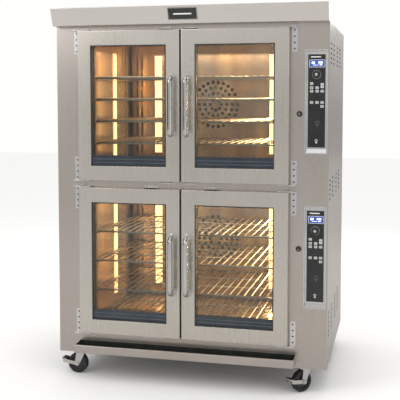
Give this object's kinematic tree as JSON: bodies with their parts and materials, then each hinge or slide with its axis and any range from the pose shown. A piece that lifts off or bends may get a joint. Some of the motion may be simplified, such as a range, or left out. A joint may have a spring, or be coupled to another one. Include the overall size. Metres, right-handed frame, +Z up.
{
  "type": "bakery oven",
  "caption": "Two-chamber glass-door convection bakery oven in stainless steel, with wire racks, front drip trough, side control panels and casters.",
  "frame": {"origin": "on the floor, under the middle of the oven's whole width and depth", "axes": "+X to the right of a person facing the doors, -Y out of the doors towards that person, +Z up"},
  "size_m": [1.26, 0.99, 1.717],
  "materials": {
    "black_panel": "gloss",
    "black_plastic": "satin",
    "bright_steel": "gloss",
    "chamber_steel": "gloss",
    "clear_glass": "polished",
    "display_blue": "gloss",
    "door_steel": "satin",
    "element_steel": "matte",
    "frame_steel": "matte",
    "key_grey": "satin",
    "lamp_glass": "gloss",
    "mineral_wool": "matte",
    "motor_alu": "satin",
    "pedal_steel": "gloss",
    "seal_rubber": "matte",
    "stainless": "satin",
    "tyre_rubber": "satin",
    "zinc": "satin"
  },
  "bodies": {
    "cabinet": {"air_baffles": "chamber_steel", "back_panel": "stainless", "base_frame": "frame_steel", "caster_plates": "zinc", "catch_plates": "bright_steel", "chamber_liners": "chamber_steel", "control_bezels": "stainless", "control_column": "stainless", "control_electronics": "black_plastic", "control_overlays": "black_panel", "displays": "display_blue", "door_hinges": "zinc", "door_seals": "seal_rubber", "fan_motors": "motor_alu", "front_canopy": "stainless", "front_frame": "stainless", "heating_elements": "element_steel", "insulation": "mineral_wool", "keypads": "key_grey", "lamp_housings": "chamber_steel", "lamp_lenses": "lamp_glass", "left_side_panel": "stainless", "lower_racks": "bright_steel", "motor_covers": "stainless", "nameplate": "black_panel", "power_inlet": "black_plastic", "rack_guides": "chamber_steel", "right_side_panel": "stainless", "roof_panel": "stainless", "screws": "bright_steel", "upper_racks": "bright_steel"},
    "upper_left_door": {"upper_left_door": "door_steel", "upper_left_door_glass": "clear_glass", "upper_left_door_handle": "bright_steel"},
    "upper_right_door": {"upper_right_door": "door_steel", "upper_right_door_glass": "clear_glass", "upper_right_door_handle": "bright_steel"},
    "lower_left_door": {"lower_left_door": "door_steel", "lower_left_door_glass": "clear_glass", "lower_left_door_handle": "bright_steel"},
    "lower_right_door": {"lower_right_door": "door_steel", "lower_right_door_glass": "clear_glass", "lower_right_door_handle": "bright_steel"},
    "upper_knob": {"upper_knob": "black_plastic"},
    "lower_knob": {"lower_knob": "black_plastic"},
    "upper_light_switch": {"upper_light_switch": "bright_steel"},
    "lower_light_switch": {"lower_light_switch": "bright_steel"},
    "upper_fan_impeller": {"upper_fan_impeller": "motor_alu"},
    "lower_fan_impeller": {"lower_fan_impeller": "motor_alu"},
    "drip_trough": {"drip_trough": "stainless"},
    "front_left_fork": {"front_left_caster_fork": "zinc"},
    "front_left_wheel": {"front_left_caster_wheel": "tyre_rubber"},
    "front_left_pedal": {"front_left_brake_pedal": "pedal_steel"},
    "front_right_fork": {"front_right_caster_fork": "zinc"},
    "front_right_wheel": {"front_right_caster_wheel": "tyre_rubber"},
    "front_right_pedal": {"front_right_brake_pedal": "pedal_steel"},
    "rear_left_fork": {"rear_left_caster_fork": "zinc"},
    "rear_left_wheel": {"rear_left_caster_wheel": "tyre_rubber"},
    "rear_right_fork": {"rear_right_caster_fork": "zinc"},
    "rear_right_wheel": {"rear_right_caster_wheel": "tyre_rubber"}
  },
  "joints": [
    {"name": "upper_left_door_hinge", "type": "hinge", "parent": "cabinet", "child": "upper_left_door", "pos_m": [-0.5045, -0.415, 1.2725], "axis": [0, 0, -1], "range_deg": [0, 120]},
    {"name": "upper_right_door_hinge", "type": "hinge", "parent": "cabinet", "child": "upper_right_door", "pos_m": [0.4525, -0.415, 1.2725], "axis": [0, 0, 1], "range_deg": [0, 120]},
    {"name": "lower_left_door_hinge", "type": "hinge", "parent": "cabinet", "child": "lower_left_door", "pos_m": [-0.5045, -0.415, 0.5555], "axis": [0, 0, -1], "range_deg": [0, 120]},
    {"name": "lower_right_door_hinge", "type": "hinge", "parent": "cabinet", "child": "lower_right_door", "pos_m": [0.4525, -0.415, 0.5555], "axis": [0, 0, 1], "range_deg": [0, 120]},
    {"name": "upper_knob_turn", "type": "hinge", "parent": "cabinet", "child": "upper_knob", "pos_m": [0.5735, -0.39, 1.411], "axis": [0, 1, 0], "continuous": true},
    {"name": "lower_knob_turn", "type": "hinge", "parent": "cabinet", "child": "lower_knob", "pos_m": [0.5735, -0.39, 0.727], "axis": [0, 1, 0], "continuous": true},
    {"name": "upper_switch_tilt", "type": "hinge", "parent": "cabinet", "child": "upper_light_switch", "pos_m": [0.502, -0.386, 1.24], "axis": [1, 0, 0], "range_deg": [-12, 12]},
    {"name": "lower_switch_tilt", "type": "hinge", "parent": "cabinet", "child": "lower_light_switch", "pos_m": [0.502, -0.386, 0.645], "axis": [1, 0, 0], "range_deg": [-12, 12]},
    {"name": "upper_fan_spin", "type": "hinge", "parent": "cabinet", "child": "upper_fan_impeller", "pos_m": [-0.025, 0.34, 1.2725], "axis": [0, 1, 0], "continuous": true},
    {"name": "lower_fan_spin", "type": "hinge", "parent": "cabinet", "child": "lower_fan_impeller", "pos_m": [-0.025, 0.34, 0.5555], "axis": [0, 1, 0], "continuous": true},
    {"name": "trough_lift", "type": "slide", "parent": "cabinet", "child": "drip_trough", "axis": [0, 0, 1], "range_m": [0, 0.025]},
    {"name": "front_left_swivel", "type": "hinge", "parent": "cabinet", "child": "front_left_fork", "pos_m": [-0.53, -0.358, 0.1], "axis": [0, 0, 1], "continuous": true},
    {"name": "front_left_roll", "type": "hinge", "parent": "front_left_fork", "child": "front_left_wheel", "pos_m": [-0.55, -0.358, 0.048], "axis": [0, 1, 0], "continuous": true},
    {"name": "front_left_brake", "type": "hinge", "parent": "front_left_fork", "child": "front_left_pedal", "pos_m": [-0.55, -0.358, 0.048], "axis": [0, 1, 0], "range_deg": [-10, 0]},
    {"name": "front_right_swivel", "type": "hinge", "parent": "cabinet", "child": "front_right_fork", "pos_m": [0.53, -0.358, 0.1], "axis": [0, 0, 1], "continuous": true},
    {"name": "front_right_roll", "type": "hinge", "parent": "front_right_fork", "child": "front_right_wheel", "pos_m": [0.51636, -0.37263, 0.048], "axis": [-0.7314, 0.682, 0], "continuous": true},
    {"name": "front_right_brake", "type": "hinge", "parent": "front_right_fork", "child": "front_right_pedal", "pos_m": [0.51636, -0.37263, 0.048], "axis": [-0.7314, 0.682, 0], "range_deg": [-10, 0]},
    {"name": "rear_left_swivel", "type": "hinge", "parent": "cabinet", "child": "rear_left_fork", "pos_m": [-0.53, 0.41, 0.1], "axis": [0, 0, 1], "continuous": true},
    {"name": "rear_left_roll", "type": "hinge", "parent": "rear_left_fork", "child": "rear_left_wheel", "pos_m": [-0.53845, 0.42813, 0.048], "axis": [0.9063, 0.4226, 0], "continuous": true},
    {"name": "rear_right_swivel", "type": "hinge", "parent": "cabinet", "child": "rear_right_fork", "pos_m": [0.53, 0.41, 0.1], "axis": [0, 0, 1], "continuous": true},
    {"name": "rear_right_roll", "type": "hinge", "parent": "rear_right_fork", "child": "rear_right_wheel", "pos_m": [0.53684, 0.42879, 0.048], "axis": [0.9397, -0.342, 0], "continuous": true}
  ]
}
